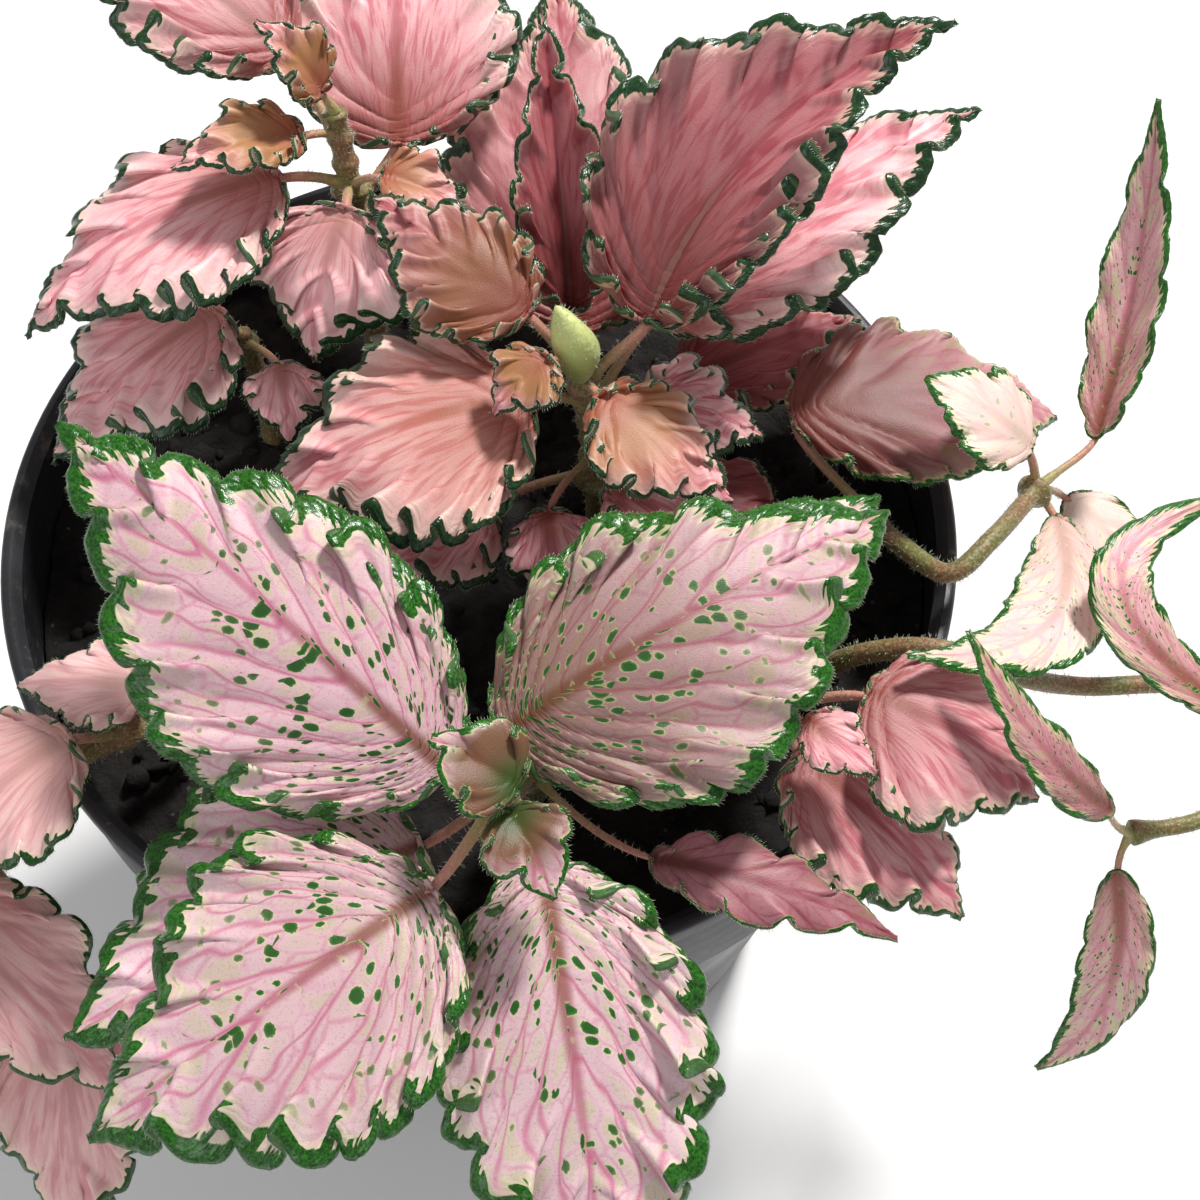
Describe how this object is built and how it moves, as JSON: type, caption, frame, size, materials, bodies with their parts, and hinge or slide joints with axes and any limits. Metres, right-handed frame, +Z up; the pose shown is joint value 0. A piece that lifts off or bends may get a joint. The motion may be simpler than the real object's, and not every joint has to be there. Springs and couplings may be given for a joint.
{
  "type": "potted nerve plant",
  "caption": "Small foliage plant with frilled pink leaves, netted with veins and edged in green, growing from potting mix in a tapered black nursery pot.",
  "frame": {"origin": "centre of the underside of the pot's base, on the surface the pot stands on", "axes": "+Z up; -Y is the front, towards the viewer; +X is the viewer's right"},
  "size_m": [0.1458, 0.1564, 0.135],
  "materials": {
    "pot": "thin black nursery plastic, lightly scuffed",
    "potting_mix": null,
    "stem": null,
    "spotted_leaf": "pale pink velvet leaf with dark green spots and margin",
    "salmon_leaf": "salmon pink velvet leaf with a thin dark green margin",
    "pale_leaf": "pale pink velvet leaf with a bright green margin",
    "rose_leaf": "rose pink velvet leaf with a green margin"
  },
  "bodies": {
    "root": {"front_leaf_1": "spotted_leaf", "front_leaf_2": "spotted_leaf", "front_leaf_3": "spotted_leaf", "front_leaf_4": "spotted_leaf", "front_leaf_5": "spotted_leaf", "front_leaf_6": "spotted_leaf", "front_leaf_7": "spotted_leaf", "front_leaf_8": "spotted_leaf", "front_leaf_9": "spotted_leaf", "front_stem": "stem", "left_front_leaf_1": "rose_leaf", "left_front_leaf_2": "rose_leaf", "left_front_leaf_3": "rose_leaf", "left_front_leaf_4": "rose_leaf", "left_front_stem": "stem", "left_leaf_1": "salmon_leaf", "left_leaf_2": "salmon_leaf", "left_leaf_3": "salmon_leaf", "left_leaf_4": "salmon_leaf", "left_leaf_5": "salmon_leaf", "left_leaf_6": "salmon_leaf", "left_leaf_7": "salmon_leaf", "left_low_leaf_1": "salmon_leaf", "left_low_leaf_2": "salmon_leaf", "left_low_stem": "stem", "left_stem": "stem", "middle_leaf_1": "salmon_leaf", "middle_leaf_10": "salmon_leaf", "middle_leaf_11": "salmon_leaf", "middle_leaf_12": "salmon_leaf", "middle_leaf_13": "salmon_leaf", "middle_leaf_14": "salmon_leaf", "middle_leaf_2": "salmon_leaf", "middle_leaf_3": "salmon_leaf", "middle_leaf_4": "salmon_leaf", "middle_leaf_5": "salmon_leaf", "middle_leaf_6": "salmon_leaf", "middle_leaf_7": "salmon_leaf", "middle_leaf_8": "salmon_leaf", "middle_leaf_9": "salmon_leaf", "middle_stem": "stem", "pot": "pot", "potting_mix": "potting_mix", "right_front_leaf_1": "rose_leaf", "right_front_leaf_2": "rose_leaf", "right_front_leaf_3": "rose_leaf", "right_front_stem": "stem", "right_leaf_1": "pale_leaf", "right_leaf_2": "pale_leaf", "right_leaf_3": "pale_leaf", "right_leaf_4": "pale_leaf", "right_leaf_5": "pale_leaf", "right_low_leaf_1": "pale_leaf", "right_low_leaf_2": "pale_leaf", "right_low_leaf_3": "pale_leaf", "right_low_stem": "stem", "right_stem": "stem"}
  },
  "joints": []
}
